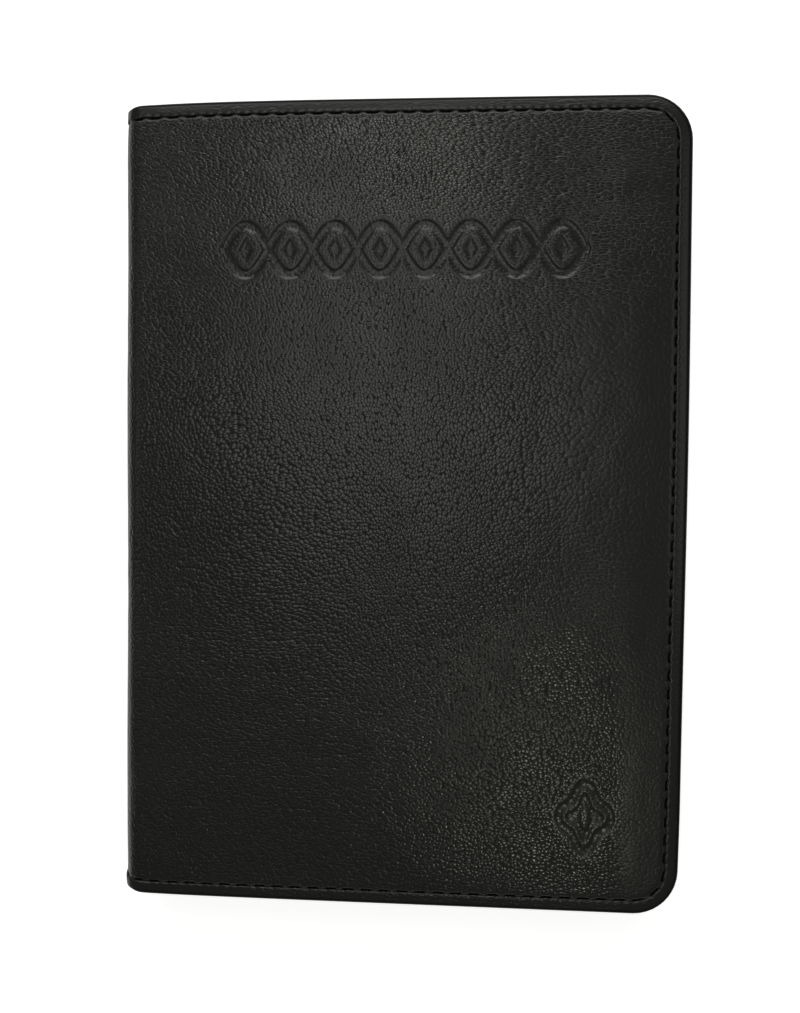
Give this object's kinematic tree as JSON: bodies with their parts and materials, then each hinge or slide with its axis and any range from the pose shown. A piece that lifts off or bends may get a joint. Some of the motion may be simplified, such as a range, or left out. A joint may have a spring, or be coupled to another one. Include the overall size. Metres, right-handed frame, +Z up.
{
  "type": "passport holder",
  "caption": "Padded leather passport holder that opens like a book, with a stitched rim, a sleeve for each passport cover and stepped card pockets.",
  "frame": {"origin": "middle of the back cover's box, on the surface that the closed holder lies on", "axes": "+Z up out of the front cover, +Y along the spine to the head, +X from the spine to the free edges"},
  "size_m": [0.1016, 0.146, 0.0145],
  "materials": {
    "outer_leather": "pebbled grain, satin",
    "inner_leather": "fine grain, satin",
    "lining": "plain woven",
    "thread": "twisted polyester",
    "foam": "open cell, matt",
    "board": "pressed fibre, matt"
  },
  "bodies": {
    "back_cover": {"back_cover_leather": "outer_leather", "back_foam_pad": "foam", "back_stiffener_board": "board", "back_lining": "lining", "back_passport_sleeve": "inner_leather", "back_edge_stitching": "thread", "back_inner_stitching": "thread"},
    "spine": {"spine_leather": "outer_leather", "spine_reinforcement": "board", "spine_lining": "lining", "spine_edge_stitching": "thread", "spine_inner_stitching": "thread"},
    "front_cover": {"front_cover_leather": "outer_leather", "front_foam_pad": "foam", "front_stiffener_board": "board", "front_lining": "lining", "front_passport_sleeve": "inner_leather", "card_pocket_wide": "inner_leather", "card_pocket_middle": "inner_leather", "card_pocket_narrow": "inner_leather", "card_pocket_stitching": "thread", "front_edge_stitching": "thread", "front_inner_stitching": "thread"}
  },
  "joints": [
    {"name": "spine_fold", "type": "hinge", "parent": "back_cover", "child": "spine", "pos_m": [-0.04955, 0, 0.00125], "axis": [0, -1, 0], "range_deg": [0, 90]},
    {"name": "cover_fold", "type": "hinge", "parent": "spine", "child": "front_cover", "pos_m": [-0.04955, 0, 0.01325], "axis": [0, -1, 0], "range_deg": [0, 90]}
  ],
  "couplings": [
    {"joint": "cover_fold", "follows": "spine_fold", "ratio": 1}
  ]
}
